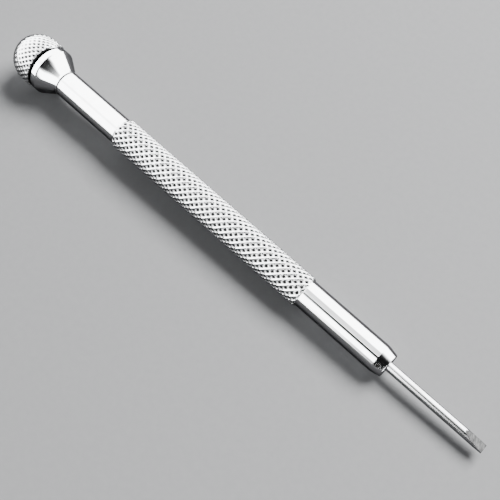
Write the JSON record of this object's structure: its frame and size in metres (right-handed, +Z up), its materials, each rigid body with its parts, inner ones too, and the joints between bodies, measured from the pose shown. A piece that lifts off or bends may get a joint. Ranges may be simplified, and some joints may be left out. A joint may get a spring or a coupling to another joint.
{
  "type": "watchmaker screwdriver",
  "caption": "Slim steel watchmaker's screwdriver with a diamond-knurled grip, free-turning knurled finger cap, flared tail collar and clamped flat blade.",
  "frame": {"origin": "centre of the footprint, on the bench the tool lies on", "axes": "+X along the tool towards the blade's tip, +Z up off the bench, +Y across the tool"},
  "size_m": [0.1062, 0.0092, 0.0092],
  "materials": {
    "knurled_steel": "satin nickel over steel, diamond knurl on the grip and cap",
    "polished_steel": "bright polished",
    "hardened_steel": "hardened, ground and lightly polished",
    "bearing_bronze": "oiled bronze",
    "blackened_steel": "blackened"
  },
  "bodies": {
    "handle": {"handle_body": "knurled_steel", "spare_blade_1": "hardened_steel", "spare_blade_2": "hardened_steel"},
    "collar": {"tail_collar": "polished_steel"},
    "cap": {"swivel_cap": "knurled_steel", "pivot_pin": "hardened_steel", "thrust_washer": "bearing_bronze", "retaining_ring": "blackened_steel"},
    "driver_blade": {"blade": "hardened_steel"},
    "set_screw": {"blade_set_screw": "blackened_steel"}
  },
  "joints": [
    {"name": "collar_withdraw", "type": "slide", "parent": "handle", "child": "collar", "axis": [-0.9996, 0, 0.0265], "range_m": [0, 0.015]},
    {"name": "cap_swivel", "type": "hinge", "parent": "collar", "child": "cap", "pos_m": [-0.04851, 0, 0.00466], "axis": [0.9996, 0, -0.0265], "continuous": true},
    {"name": "blade_withdraw", "type": "slide", "parent": "handle", "child": "driver_blade", "axis": [0.9996, 0, -0.0265], "range_m": [0, 0.016]},
    {"name": "set_screw_turn", "type": "hinge", "parent": "handle", "child": "set_screw", "pos_m": [0.02835, 0, 0.00012], "axis": [-0.0265, 0, -0.9996], "range_deg": [0, 360]}
  ]
}
